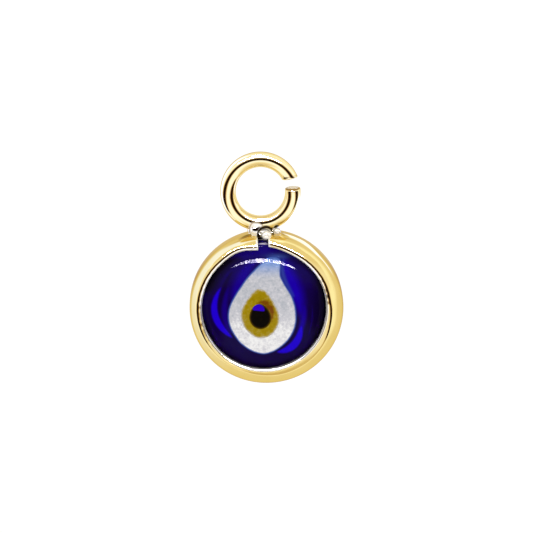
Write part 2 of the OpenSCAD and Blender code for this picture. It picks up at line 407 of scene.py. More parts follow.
def make_solder(material):
    """The solder that joins the ring to both ends of the channel, filleted into the crevice."""
    step = SOLDER_STEP
    axes = [np.arange(low, high + step, step) for low, high in zip(SOLDER_LOW, SOLDER_HIGH)]
    x, y, z = np.meshgrid(*axes, indexing="ij")
    over_ring = z - RING_AT[2]
    ring_reach = np.sqrt(x ** 2 + (y - RING_AT[1]) ** 2)
    wire = np.sqrt((ring_reach - RING_R) ** 2 + over_ring ** 2) - WIRE_R
    radius = np.sqrt(x ** 2 + y ** 2)
    over = np.maximum(z - SIDE_Z, 0)
    side = np.hypot(radius - SIDE_X, over) - SIDE_ROUND
    slope = (radius - SIDE_X) * math.sin(SLOPE_LEAN) + over * math.cos(SLOPE_LEAN) - SIDE_ROUND
    leans = np.arctan2(radius - SIDE_X, over)
    outer = np.where(leans > SLOPE_LEAN, side, slope)
    wall = np.maximum(outer, -outer - SHEET)
    wall = np.maximum(np.maximum(wall, EDGE_ROUND - z), SLOT_W / 2 - np.abs(x))
    joined = smooth_least(wire, wall, WIRE_FILLET)
    ripple = LUMP_RIPPLE * np.sin(x / LUMP_WAVES[0] + 1)
    ripple = ripple * np.sin(y / LUMP_WAVES[1]) * np.sin(z / LUMP_WAVES[2])
    for *place, size in LUMPS:
        lump = ball(x, y, over_ring, np.array(place) * MM, size * MM) + ripple
        joined = smooth_least(joined, lump, LUMP_FILLET)
    joined += SOLDER_SINK
    bound = ball(x, y, z, SOLDER_MIDDLE, SOLDER_REACH)
    bead_side = (BEAD_R + GLASS_GAP) - radius
    joined = np.maximum(np.maximum(joined, bound), bead_side)
    points, faces = surface_net(joined, SOLDER_LOW, step)
    piece = add_mesh("solder", points + BEZEL_AT, faces, material, math.radians(180))
    paint_metal(piece, 0.0)
    return piece


def outline(shape, width, length, foot, count=320):
    """A drop's smooth outline: evenly spaced points, anticlockwise from its foot."""
    corners = [(right * width / 2, up * length) for up, _, right in shape]
    corners += [(-left * width / 2, up * length) for up, left, right in reversed(shape[1:])
                if left + right]
    corners = np.array(corners)
    share = np.linspace(0, 1, 12, endpoint=False)[:, None]
    pieces = []
    for i in range(len(corners)):
        a, b, c, d = (corners[(i + k) % len(corners)] for k in (-1, 0, 1, 2))
        pieces.append(
            b + (c - a) * share / 2
            + (2 * a - 5 * b + 4 * c - d) * share ** 2 / 2
            + (3 * b - a - 3 * c + d) * share ** 3 / 2
        )
    fine = np.concatenate(pieces)
    closed = np.vstack([fine, fine[:1]])
    travel = np.concatenate([[0], np.cumsum(np.linalg.norm(np.diff(closed, axis=0), axis=1))])
    even = np.linspace(0, travel[-1], count, endpoint=False)
    return np.stack([np.interp(even, travel, closed[:, k]) for k in (0, 1)], axis=1) + foot


WHITE_OUTLINE = outline(WHITE_SHAPE, WHITE_W, WHITE_L, WHITE_FOOT)
AMBER_OUTLINE = outline(AMBER_SHAPE, AMBER_W, AMBER_L, AMBER_FOOT)
PUPIL_OUTLINE = outline(PUPIL_SHAPE, PUPIL_W, PUPIL_L, PUPIL_FOOT)


def on_dome(flat):
    """Points of the bezel's plane lifted onto the dome."""
    reach = np.linalg.norm(flat, axis=1)
    height = DOME_TOP - DOME_R + np.sqrt(DOME_R ** 2 - reach ** 2)
    return np.column_stack([flat, height])


def at_height(flat, height):
    """Points of the bezel's plane lifted to one height."""
    return np.column_stack([flat, np.full(len(flat), height)])


def between(inner, outer, steps):
    """Flat loops from one outline to another, without the first and the last."""
    return [inner + (outer - inner) * share for share in np.linspace(0, 1, steps + 1)[1:-1]]


def make_inlay(name, edge, hollow, floor, hollow_floor, material):
    """A drop of glass: its top lies on the dome, and it holds the next drop in a pocket."""
    edge = inset_loop(edge, SEAM)
    loops = [at_height(edge, floor), on_dome(edge)]
    if hollow is None:
        centre = np.full_like(edge, edge.mean(axis=0))
        loops += [on_dome(loop) for loop in between(edge, centre, 16)]
        loops += [on_dome(edge * 0.02 + centre * 0.98)]
    else:
        loops += [on_dome(loop) for loop in between(edge, hollow, 20)]
        loops += [on_dome(hollow), at_height(hollow, hollow_floor)]
    return stacked(name, loops, material)


def make_bead(material):
    """The bead: domed front with the eye's pocket, rounded rim and plain back."""
    count = len(WHITE_OUTLINE)
    length = np.linalg.norm(np.roll(WHITE_OUTLINE, -1, axis=0) - WHITE_OUTLINE, axis=1)
    travel = np.concatenate([[0], np.cumsum(length)[:-1]]) / length.sum()
    tip = int(np.argmax(WHITE_OUTLINE[:, 1]))
    # The rim's points keep step with the drop's, so that the dome's faces hardly twist
    tip_turn = 80.0
    turns = np.where(
        np.arange(count) <= tip,
        -90 + (tip_turn + 90) * travel / travel[tip],
        tip_turn + (270 - tip_turn) * (travel - travel[tip]) / (1 - travel[tip]),
    )
    rim = np.stack([np.cos(np.radians(turns)), np.sin(np.radians(turns))], axis=1)
    shoulder = on_dome(rim * DOME_EDGE_R)
    loops = [at_height(WHITE_OUTLINE, DOME_TOP - WHITE_DEPTH - GLASS_GAP), on_dome(WHITE_OUTLINE)]
    loops += [on_dome(loop) for loop in between(WHITE_OUTLINE, rim * DOME_EDGE_R, 64)]
    loops += [shoulder]
    first = math.asin(DOME_EDGE_R / DOME_R)
    bend = (BEAD_R - DOME_EDGE_R) / (1 - math.sin(first))
    for lean in np.linspace(first, math.pi / 2, 17)[1:]:
        reach = DOME_EDGE_R + bend * (math.sin(lean) - math.sin(first))
        drop = bend * (math.cos(first) - math.cos(lean))
        loops.append(np.column_stack([rim * reach, shoulder[:, 2] - drop]))
    for share in np.linspace(0, 1, 9):
        lean = share * math.pi / 2
        reach = BEAD_R - BEAD_ROUND * (1 - math.cos(lean))
        loops.append(at_height(rim * reach, BEAD_BACK + BEAD_ROUND * (1 - math.sin(lean))))
    loops += [at_height(rim * (BEAD_R - BEAD_ROUND) * share, BEAD_BACK) for share in (0.7, 0.35)]
    return stacked("bead", loops[::-1], material)


def picture_place(points):
    """Right and up of the bezel's middle in the picture, in millimetres."""
    across = points[:, 0] - BEZEL_AT[0]
    up = (points[:, 1] - BEZEL_AT[1]) * math.cos(VIEW_TILT)
    up = up - (points[:, 2] - BEZEL_H / 2) * math.sin(VIEW_TILT)
    roll_cos, roll_sin = math.cos(VIEW_ROLL), math.sin(VIEW_ROLL)
    places = [across * roll_cos - up * roll_sin, across * roll_sin + up * roll_cos]
    return np.stack(places, axis=1) / MM


def smooth_step(values, low, high):
    """Runs smoothly from 0 at the low value to 1 at the high one."""
    share = np.clip((values - low) / (high - low), 0, 1)
    return share * share * (3 - 2 * share)


def stroke(places, controls, half_width, soft):
    """How far places lie inside a brush stroke along a curve that tapers to both ends."""
    share = np.linspace(0, 1, 41)[:, None]
    points = [np.array(control) + share * 0 for control in controls]
    while len(points) > 1:
        points = [a + (b - a) * share for a, b in zip(points, points[1:])]
    widths = half_width * np.sin(math.pi * share[:, 0]) ** 0.6
    reach = np.linalg.norm(places[:, None] - points[0][None], axis=2) - widths[None]
    return 1 - smooth_step(reach.min(axis=1), -soft, soft)


def strokes(places, rows):
    """The strongest of several strokes: each is a curve, half width, softness and strength."""
    total = np.zeros(len(places))
    for controls, half_width, soft, strength in rows:
        total = np.maximum(total, strength * stroke(places, controls, half_width, soft))
    return total


# Painted shade and dark reflections on the metal, in the picture's millimetres: curve, half width,
# softness, strength
METAL_BLACK_SHADE = [
    ([(-0.71, 4.13), (-0.62, 3.90), (-0.35, 4.16)], 0.09, 0.03, 1.0),
    ([(-0.50, 3.72), (-0.41, 4.22), (0.25, 4.38), (0.36, 3.77)], 0.075, 0.03, 1.0),
    ([(-0.43, 3.80), (-0.43, 3.66), (-0.28, 3.50)], 0.09, 0.03, 1.0),
    ([(0.40, 4.11), (0.50, 4.24), (0.64, 4.19)], 0.075, 0.03, 1.0),
    ([(-1.30, 3.58), (-1.10, 3.68), (-0.80, 3.80)], 0.05, 0.03, 0.9),
    ([(-0.22, 4.24), (-0.20, 4.44), (-0.52, 4.54)], 0.04, 0.03, 0.9),
    ([(0.87, 6.67), (0.99, 6.66), (1.10, 6.69)], 0.05, 0.025, 1.0),
]
METAL_BROWN_SHADE = [
    ([(-0.86, 3.84), (-0.98, 4.47), (-0.42, 4.62), (-0.16, 4.15)], 0.045, 0.04, 0.9),
    ([(0.62, 4.12), (0.78, 3.84), (0.95, 3.70)], 0.04, 0.04, 0.8),
    ([(0.38, 4.02), (0.50, 3.66), (0.74, 3.96)], 0.03, 0.03, 0.7),
    ([(-1.45, 3.52), (-1.10, 3.62), (-0.80, 3.74)], 0.06, 0.05, 0.8),
    ([(0.55, 4.34), (0.80, 4.34), (1.0, 4.52)], 0.04, 0.05, 0.8),
    ([(-0.55, 3.00), (-1.5, 2.95), (-2.2, 2.35)], 0.022, 0.02, 0.8),
    ([(0.35, 3.16), (1.3, 2.95), (1.9, 2.5)], 0.022, 0.02, 0.7),
    ([(0.87, 6.66), (1.2, 6.70), (1.64, 6.83)], 0.025, 0.025, 0.8),
    ([(0.94, 6.24), (1.00, 6.02), (1.32, 6.06), (1.66, 6.02), (1.72, 6.22)], 0.05, 0.03, 1.0),
    ([(0.96, 6.22), (1.06, 6.25), (1.16, 6.26)], 0.055, 0.03, 0.9),
]
# Painted highlights as pale spots on the solder and on the wire's lower end: right, up and radius
PAINTED_HIGHLIGHT_SPOTS = [
    (-0.56, 4.08, 0.36), (-0.02, 3.81, 0.27), (0.53, 3.96, 0.17),
    (1.12, 6.23, 0.10), (1.32, 6.24, 0.11), (1.52, 6.24, 0.10),
]


def paint_metal(piece, pale):
    """Painted highlights as pale spots, and painted shade and dark reflections as black and brown
    strokes, on the front half of a metal piece.
    """
    points = mesh_points(piece)
    places = picture_place(points)
    front = smooth_step(points[:, 2], BEZEL_H / 2 - 0.3 * MM, BEZEL_H / 2)
    for right, up, radius in PAINTED_HIGHLIGHT_SPOTS:
        reach = np.hypot(places[:, 0] - right, places[:, 1] - up)
        pale = np.maximum(pale, 1 - smooth_step(reach, radius - 0.03, radius + 0.05))
    # Painted shade and dark reflections: black in gaps and crevices, brown along edges
    black_shade, brown_shade = strokes(places, METAL_BLACK_SHADE), strokes(places, METAL_BROWN_SHADE)
    paint(piece, [pale, front * black_shade, front * brown_shade])


def off_outline(points, outline_points, width):
    """Runs smoothly from 0 at a drop's outline to 1 at a width from it, in millimetres."""
    flat = (points - BEZEL_AT)[:, None, :2]
    reach = np.linalg.norm(flat - outline_points[None], axis=2).min(axis=1) / MM
    return smooth_step(reach, 0.0, width)


def paint(piece, layers):
    """Keep up to four layers of values on a piece's points for its material to read."""
    values = np.zeros((len(piece.data.vertices), 4), np.float32)
    for i, layer in enumerate(layers):
        values[:, i] = layer
    attribute = piece.data.color_attributes.new("paint", "FLOAT_COLOR", "POINT")
    attribute.data.foreach_set("color", values.ravel())


def mesh_points(piece):
    """A piece's points as rows of x, y and z."""
    points = np.empty(len(piece.data.vertices) * 3, np.float32)
    piece.data.vertices.foreach_get("co", points)
    return points.reshape(-1, 3).astype(float)


# Strokes of painted light and shade in the glass, in the picture's millimetres: curve, half width
# and softness, the first ones with the level of light to which they bring the glass
COBALT_LIGHT_AND_SHADE = [
    ([(-1.9, 2.6), (-0.6, 3.2), (1.2, 3.0)], 0.30, 0.25, 0.55),
    ([(-0.6, 2.4), (-1.5, 1.5), (-1.7, 0.2)], 0.28, 0.22, 0.60),
    ([(0.9, 2.5), (1.05, 1.6), (1.65, 0.8), (1.80, -0.4)], 0.38, 0.30, 0.70),
    ([(-1.8, 1.8), (-2.7, 0.5), (-2.3, -1.1), (-1.4, -1.7)], 0.13, 0.10, 0.24),
    ([(-1.95, 1.0), (-2.3, 0.1), (-2.25, -0.8), (-1.8, -1.35)], 0.16, 0.12, 0.52),
    ([(-3.15, 0.7), (-3.45, 0.0), (-3.15, -0.6)], 0.13, 0.12, 0.46),
    ([(-2.34, 1.04), (-3.10, -0.1), (-2.55, -1.0), (-1.77, -1.56)], 0.18, 0.06, 0.86),
    ([(1.6, -1.5), (2.0, -0.7), (1.95, 0.1)], 0.14, 0.12, 0.62),
    ([(0.55, -2.3), (1.35, -2.25), (1.75, -1.7), (1.80, -0.95)], 0.20, 0.06, 0.84),
    ([(2.34, 0.15), (2.45, -0.6), (2.15, -1.5)], 0.04, 0.05, 0.42),
]
# Painted glow beside the drop, and the painted highlight line in the slot
COBALT_PAINTED_GLOW = ([(0.90, 2.6), (0.68, 1.9), (0.85, 1.5), (1.40, 0.6)], 0.07, 0.12)
COBALT_HIGHLIGHT_LINE = ([(-0.45, 3.27), (-0.18, 3.33), (0.10, 3.27)], 0.038, 0.022)
AMBER_BURNT = ([(-0.50, 0.22), (0.00, 0.36), (0.40, 0.08), (0.24, -0.75)], 0.18, 0.18)
PUPIL_GLINT = ([(-0.68, -0.10), (-0.42, 0.14), (-0.12, -0.16)], 0.17, 0.05)


def paint_bead(piece):
    """The bead's painted light and shade, its pale fringe, painted glow and haze, and the painted
    highlight line in the slot.
    """
    points = mesh_points(piece)
    places = picture_place(points)
    right, up = places.T
    # Painted light and shade: lighter towards the top, darker at the foot, at the right and at the
    # upper left
    level = 0.28 + 0.10 * smooth_step(up, -1.0, 2.2) - 0.05 * smooth_step(-up, 2.2, 2.9)
    level -= 0.15 * smooth_step(right, 2.0, 2.9) * smooth_step(-up, -2.0, -1.0)
    rim_shade = 0.25 * smooth_step(np.hypot(right, up), 2.6, 3.1)
    level -= rim_shade * smooth_step(up, 0.5, 1.2) * smooth_step(-right, 0.8, 1.6)
    for controls, half_width, soft, brightness in COBALT_LIGHT_AND_SHADE:
        level = level + (brightness - level) * stroke(places, controls, half_width, soft)
    # Painted shade: darker just inside the lip, except at the top
    to_lip = -off_window(points - BEZEL_AT) / MM
    level -= 0.14 * (1 - smooth_step(to_lip, 0.0, 0.3)) * smooth_step(-up, -2.7, -2.2)
    fringe = 1 - off_outline(points, WHITE_OUTLINE, 0.05)
    # Painted glow above the drop and painted haze beside it
    painted_glow = np.exp(-((right - 0.55) / 0.50) ** 2 - ((up - 2.64) / 0.13) ** 2)
    painted_haze = stroke(places, *COBALT_PAINTED_GLOW)
    pale = np.maximum(0.8 * fringe, np.maximum(0.6 * painted_glow, 0.5 * painted_haze))
    paint(piece, [level, pale, stroke(places, *COBALT_HIGHLIGHT_LINE)])


def paint_white(piece):
    """The white drop: thin at its edge, brighter at its foot and greyer above, with a blue veil
    over its neck.
    """
    points = mesh_points(piece)
    up = picture_place(points)[:, 1]
    milk = 0.78 - 0.45 * smooth_step(up, -2.0, 0.6)
    thin_neck = 1 - 0.8 * smooth_step(up, 2.15, 2.75)
    body = off_outline(points, WHITE_OUTLINE, 0.09) * thin_neck
    paint(piece, [body, milk, 0.85 * smooth_step(up, 1.4, 2.5)])


def paint_amber(piece):
    """The amber drop: pale at its edge, burnt round the pupil's upper right."""
    points = mesh_points(piece)
    burnt = stroke(picture_place(points), *AMBER_BURNT)
    paint(piece, [off_outline(points, AMBER_OUTLINE, 0.14), burnt])


def paint_pupil(piece):
    """The pupil: brown at its edge, with a violet glint in its upper left."""
    points = mesh_points(piece)
    glint = stroke(picture_place(points), *PUPIL_GLINT)
    paint(piece, [off_outline(points, PUPIL_OUTLINE, 0.13), glint])


def node(tree, kind, settings=None, inputs=None):
    """A new node with its settings; each input gets a link or a value."""
    made = tree.nodes.new(kind)
    for key, value in (settings or {}).items():
        setattr(made, key, value)
    for key, value in (inputs or {}).items():
        if isinstance(value, bpy.types.NodeSocket):
            tree.links.new(value, made.inputs[key])
        else:
            made.inputs[key].default_value = value
    return made


def maths(tree, operation, *values):
    """A Math node's result."""
    made = node(tree, "ShaderNodeMath", {"operation": operation}, dict(enumerate(values)))
    return made.outputs[0]


def vector_maths(tree, operation, *inputs, **scale):
    """A Vector Math node's outputs."""
    inputs = {**dict(enumerate(inputs)), **scale}
    return node(tree, "ShaderNodeVectorMath", {"operation": operation}, inputs).outputs


def less(tree, value):
    """One less the value."""
    return maths(tree, "SUBTRACT", 1, value)


def product(tree, first, *others):
    """The product of all values."""
    for other in others:
        first = maths(tree, "MULTIPLY", first, other)
    return first


def step_between(tree, value, low, high):
    """Runs smoothly from 0 at the low value to 1 at the high one."""
    made = node(tree, "ShaderNodeMapRange", {"interpolation_type": "SMOOTHSTEP"}, {
        "Value": value, "From Min": low, "From Max": high,
    })
    return made.outputs["Result"]


def blend_colours(tree, factor, first, second):
    """The first colour at a factor of 0, the second at 1."""
    first, second = ((*c, 1.0) if isinstance(c, tuple) else c for c in (first, second))
    made = node(tree, "ShaderNodeMix", {"data_type": "RGBA"}, {0: factor, 6: first, 7: second})
    return made.outputs[2]


def noise(tree, coords, scale, detail=3.0, roughness=0.5):
    """Noise from 0 to 1; on a piece, the scale is in waves to the metre."""
    made = node(tree, "ShaderNodeTexNoise", None, {
        "Vector": coords, "Scale": scale, "Detail": detail, "Roughness": roughness,
    })
    return made.outputs["Fac"]


def ramp(tree, factor, stops):
    """A colour ramp through stops of (place, colour)."""
    made = node(tree, "ShaderNodeValToRGB", None, {"Fac": factor})
    elements = made.color_ramp.elements
    while len(elements) < len(stops):
        elements.new(0.5)
    for element, (place, colour) in zip(elements, stops):
        element.position = place
        element.color = (*colour, 1.0)
    return made.outputs["Color"]


def bright_ramp(tree, value, span, stops, brightest):
    """Tones, also brighter than one, along a value that runs from 0 to the span."""
    stops = [(place / span, tuple(v / brightest for v in tone)) for place, tone in stops]
    tones = ramp(tree, maths(tree, "DIVIDE", value, span), stops)
    return vector_maths(tree, "SCALE", tones, Scale=brightest)[0]


def new_material(name):
    """A material, its tree and shader, and the piece's own coordinates."""
    material = bpy.data.materials.new(name)
    material.use_nodes = True
    tree = material.node_tree
    coords = tree.nodes.new("ShaderNodeTexCoord").outputs["Object"]
    return material, tree, tree.nodes["Principled BSDF"], coords


def painted(tree):
    """The values that paint() kept on a piece."""
    source = node(tree, "ShaderNodeAttribute", {"attribute_name": "paint"})
    return node(tree, "ShaderNodeSeparateColor", None, {"Color": source.outputs["Color"]}).outputs


# Tones of the metal: mirrored at a glancing angle, a painted highlight, painted black shade and
# painted brown shade, and how much a painted highlight loses its mirror
GLANCING_TINT = (0.94, 0.84, 0.52, 1.0)
HIGHLIGHT_METAL, SHADE_BLACK_METAL = (1.0, 0.96, 0.84), (0.02, 0.008, 0.003)
SHADE_BROWN_METAL = (0.40, 0.24, 0.07)
HIGHLIGHT_MATT = 0.72


def gold_material(name, low, high, gloss):
    """Polished metal: its tone drifts faintly between two colours, with fine smears; painted
    highlights turn it pale and matt, painted shade black or brown.
    """
    material, tree, shader, coords = new_material(name)
    shader.inputs["Specular Tint"].default_value = GLANCING_TINT
    tone = ramp(tree, noise(tree, coords, 900, 2), [(0.3, low), (0.7, high)])
    paints = painted(tree)
    # Painted highlights turn the tone pale, painted shade black and brown
    tone = blend_colours(tree, step_between(tree, paints["Red"], 0.0, 0.5), tone, HIGHLIGHT_METAL)
    tone = blend_colours(tree, paints["Green"], tone, SHADE_BLACK_METAL)
    tone = blend_colours(tree, paints["Blue"], tone, SHADE_BROWN_METAL)
    tree.links.new(tone, shader.inputs["Base Color"])
    # Painted highlights lose most of their mirror, so that they stay pale
    matt = product(tree, paints["Red"], less(tree, paints["Green"]))
    tree.links.new(maths(tree, "MULTIPLY_ADD", matt, -HIGHLIGHT_MATT, 1.0), shader.inputs["Metallic"])
    smears = noise(tree, coords, 2600, 4, 0.6)
    rough = ramp(tree, smears, [(0.35, (gloss,) * 3), (0.75, (gloss * 1.8,) * 3)])
    tree.links.new(rough, shader.inputs["Roughness"])
    bump = node(tree, "ShaderNodeBump", None, {
        "Strength": 0.1, "Distance": 0.01 * MM, "Height": noise(tree, coords, 3500, 2),
    })
    tree.links.new(bump.outputs["Normal"], shader.inputs["Normal"])
    return material


def glass(name, tone, gloss=0.036):
    """A glass whose tone shows from within, under a thin clear gloss."""
    material, tree, shader, coords = new_material(name)
    shader.inputs["Roughness"].default_value = 0.02
    shader.inputs["Specular IOR Level"].default_value = gloss
    tree.links.new(tone(tree, coords, painted(tree)), shader.inputs["Base Color"])
    return material


def speckled(tree, coords, value, scale, strength):
    """A painted value with fine noise over it."""
    grain = maths(tree, "SUBTRACT", noise(tree, coords, scale, 4, 0.7), 0.5)
    return maths(tree, "MULTIPLY_ADD", grain, strength, value)


# Tones of the glasses, by what is painted on them
COBALT_TONES = [
    (0.00, (0.0015, 0.0003, 0.005)), (0.15, (0.0035, 0.0006, 0.016)),
    (0.32, (0.006, 0.001, 0.050)), (0.50, (0.008, 0.0005, 0.150)),
    (0.65, (0.009, 0.0002, 0.260)), (0.85, (0.013, 0.0002, 0.540)), (1.00, (0.018, 0.002, 0.660)),
]
MILK_TONES = [(0.1, (0.38, 0.40, 0.44)), (0.5, (0.55, 0.54, 0.57)), (0.9, (0.80, 0.79, 0.78))]
AMBER_TONES = [
    (0.0, (0.46, 0.42, 0.34)), (0.35, (0.36, 0.27, 0.06)), (0.7, (0.31, 0.21, 0.003)),
    (1.0, (0.26, 0.17, 0.001)),
]
PUPIL_TONES = [
    (0.0, (0.10, 0.06, 0.001)), (0.5, (0.022, 0.010, 0.001)), (1.0, (0.003, 0.002, 0.001)),
]
# A pale edge, also the tone of the painted glow and haze in the cobalt; a blue veil; the painted
# highlight line in the slot
PALE_EDGE, BLUE_VEIL, HIGHLIGHT_LINE_TONE = (0.045, 0.09, 0.36), (0.10, 0.24, 0.62), (0.85, 0.80, 1.0)
BURNT, GLINT = (0.16, 0.05, 0.002), (0.026, 0.001, 0.46)


def cobalt_tone(tree, coords, paints):
    """Deep blue by the painted level of light and shade, with its pale fringe, painted glow and
    the painted highlight line.
    """
    colour = ramp(tree, speckled(tree, coords, paints["Red"], 2200, 0.10), COBALT_TONES)
    colour = blend_colours(tree, paints["Green"], colour, PALE_EDGE)
    return blend_colours(tree, paints["Blue"], colour, HIGHLIGHT_LINE_TONE)


def white_tone(tree, coords, paints):
    """Milky white with coarse and fine grain, blue at its edge and under its veil."""
    milk = speckled(tree, coords, speckled(tree, coords, paints["Green"], 2400, 0.9), 6500, 1.3)
    colour = blend_colours(tree, paints["Blue"], ramp(tree, milk, MILK_TONES), BLUE_VEIL)
    body = speckled(tree, coords, paints["Red"], 5200, 0.6)
    return blend_colours(tree, step_between(tree, body, 0.0, 1.0), PALE_EDGE, colour)


def amber_tone(tree, coords, paints):
    """Grainy ochre, pale at its edge and brown where it is burnt."""
    body = speckled(tree, coords, product(tree, paints["Red"], 0.75), 4200, 1.5)
    burnt = speckled(tree, coords, maths(tree, "ADD", paints["Green"], 0.1), 4600, 1.5)
    burnt = step_between(tree, burnt, 0.25, 1.1)
    return blend_colours(tree, burnt, ramp(tree, body, AMBER_TONES), BURNT)


def pupil_tone(tree, coords, paints):
    """Near black, brown at its edge, with the violet glint."""
    colour = ramp(tree, speckled(tree, coords, paints["Red"], 5200, 0.4), PUPIL_TONES)
    glint = speckled(tree, coords, paints["Green"], 5200, 0.3)
    return blend_colours(tree, step_between(tree, glint, 0.2, 0.9), colour, GLINT)


# The floor as the metal mirrors it, darker near the pendant as a painted shadow: its tones by
# the distance from the pendant's outline, and the pairs below, are in millimetres. A pair says
# where something begins and is complete
FLOOR_REACH = 30.0
FLOOR_BRIGHTEST = 2
FLOOR_TONES = [
    (0.0, (0.94, 0.91, 0.86)), (0.8, (0.95, 0.93, 0.90)), (2.0, (0.98, 0.97, 0.95)),
    (5.0, (1.0,) * 3), (9.0, (1.01,) * 3), (15.0, (1.18, 1.27, 1.5)), (30.0, (1.25, 1.4, 1.75)),
]
# A painted brown shadow next to the pendant, with its share by the direction round the bezel in
# degrees
SHADOW_BROWN = (0.56, 0.41, 0.28)
BROWN_SHARES = [
    (0, 0.70), (18, 0.9), (36, 0.4), (60, 0.3), (125, 0.3), (157, 0.9), (175, 0.2), (220, 0.2),
    (250, 0.9), (275, 1.0), (300, 0.85), (325, 0.45), (360, 0.70),
]
BROWN_END, WIRE_BROWN_END, WIRE_BROWN_OFF_BEZEL = (0.1, 1.7), (0.1, 1.4), (2.0, 3.5)
WIRE_BROWN = 0.85
# A painted glowing cream card at the upper left
CREAM = (1.2, 1.5, 3.2)
CREAM_SHARES = [
    (0, 0.0), (95, 0.0), (108, 1.0), (158, 0.9), (182, 0.6), (215, 0.3), (245, 0.0), (360, 0.0),
]
CREAM_OFF_BEZEL, CREAM_OFF_WIRE = (1.2, 2.6), (1.0, 2.5)
# A painted glowing white card at the upper right: between which directions it begins and ends,
# the distances of its nearer and farther edge at two directions, and how far up it ends
CARD = (1.5, 1.95, 5.2)
CARD_BEGIN, CARD_END = (16, 30), (84, 92)
CARD_NEARER, CARD_FARTHER = ((30, 2.2), (58, 0.25)), ((34, 3.2), (66, 8.2))
CARD_NEARER_SOFT, CARD_FARTHER_SOFT = (0.8, 1.2), (0.8, 1.1)
CARD_OFF_WIRE, CARD_TOP = (0.1, 0.4), (4.4, 5.6)


def mirrored_floor(tree, coords):
    """The floor's tone for the mirror: a painted brown shadow close to the pendant, pale where a
    painted glowing card lies.
    """
    from_axis = vector_maths(tree, "SUBTRACT", coords, BEZEL_AT)[0]
    across, along, _ = node(tree, "ShaderNodeSeparateXYZ", None, {0: from_axis}).outputs

    def off_circle(middle, radius):
        reach = vector_maths(tree, "DISTANCE", from_axis, (*middle, 0))["Value"]
        return maths(tree, "DIVIDE", maths(tree, "SUBTRACT", reach, radius), MM)

    off_bezel, off_wire = off_circle((0, 0), BEZEL_R), off_circle(RING_AT[:2], RING_R)
    off_wire = maths(tree, "SUBTRACT", maths(tree, "ABSOLUTE", off_wire), WIRE_R / MM)
    distance = maths(tree, "MAXIMUM", maths(tree, "MINIMUM", off_bezel, off_wire), 0)
    turn = maths(tree, "DIVIDE", maths(tree, "ARCTAN2", along, across), 2 * math.pi)
    turn = maths(tree, "FRACT", turn)
    degrees = maths(tree, "MULTIPLY", turn, 360)

    def share_round(stops):
        return ramp(tree, turn, [(around / 360, (share,) * 3) for around, share in stops])

    def beyond_edge(stops, soft):
        (first, start), (last, end) = stops
        share = step_between(tree, degrees, first, last)
        edge = maths(tree, "MULTIPLY_ADD", share, end - start, start)
        return step_between(tree, maths(tree, "DIVIDE", off_bezel, edge), *soft)

    colour = bright_ramp(tree, distance, FLOOR_REACH, FLOOR_TONES, FLOOR_BRIGHTEST)

    # Painted shadow beside the bezel and beside the wire
    beside_bezel = less(tree, step_between(tree, off_bezel, *BROWN_END))
    beside_bezel = product(tree, beside_bezel, share_round(BROWN_SHARES))
    clear = product(tree, step_between(tree, off_wire, *WIRE_BROWN_END), WIRE_BROWN)
    beside_wire = maths(tree, "SUBTRACT", WIRE_BROWN, clear)
    off_both = step_between(tree, off_bezel, *WIRE_BROWN_OFF_BEZEL)
    brown_shade = maths(tree, "MAXIMUM", beside_bezel, product(tree, beside_wire, off_both))
    colour = blend_colours(tree, brown_shade, colour, SHADOW_BROWN)

    # Painted glowing cards
    cream = product(
        tree, share_round(CREAM_SHARES), step_between(tree, off_bezel, *CREAM_OFF_BEZEL),
        step_between(tree, off_wire, *CREAM_OFF_WIRE),
    )
    colour = blend_colours(tree, cream, colour, CREAM)

    card = product(
        tree,
        beyond_edge(CARD_NEARER, CARD_NEARER_SOFT),
        less(tree, beyond_edge(CARD_FARTHER, CARD_FARTHER_SOFT)),
        step_between(tree, degrees, *CARD_BEGIN),
        step_between(tree, off_wire, *CARD_OFF_WIRE),
        less(tree, step_between(tree, along, *(place * MM for place in CARD_TOP))),
        less(tree, step_between(tree, degrees, *CARD_END)),
    )
    return blend_colours(tree, card, colour, CARD)


def make_floor():
    """A sheet of white paper, plain to the camera, with a painted shadow and glowing cards for the
    mirror.
    """
    half = 1.2
    corners = [(-half, -half, 0), (half, -half, 0), (half, half, 0), (-half, half, 0)]
    mesh = bpy.data.meshes.new("floor")
    mesh.from_pydata(corners, [], [(0, 1, 2, 3)])
    floor = bpy.data.objects.new("floor", mesh)
    bpy.context.scene.collection.objects.link(floor)
    material, tree, shader, coords = new_material("white_paper")
    tone = ramp(tree, noise(tree, coords, 40, 2), [(0.3, (0.93,) * 3), (0.7, (0.95,) * 3)])
    tree.links.new(tone, shader.inputs["Base Color"])
    shader.inputs["Roughness"].default_value = 0.9
    shader.inputs["Specular IOR Level"].default_value = 0.0
    path = node(tree, "ShaderNodeLightPath")
    mirrored = node(tree, "ShaderNodeEmission", None, {"Color": mirrored_floor(tree, coords)})
    plain = node(tree, "ShaderNodeEmission", None, {"Strength": PLAIN_FLOOR})
    below = shader.outputs[0]
    for kind, light in (("Is Glossy Ray", mirrored), ("Is Camera Ray", plain)):
        below = node(tree, "ShaderNodeMixShader", None, {
            0: path.outputs[kind], 1: below, 2: light.outputs[0],
        }).outputs[0]
    tree.links.new(below, tree.nodes["Material Output"].inputs["Surface"])
    floor.data.materials.append(material)


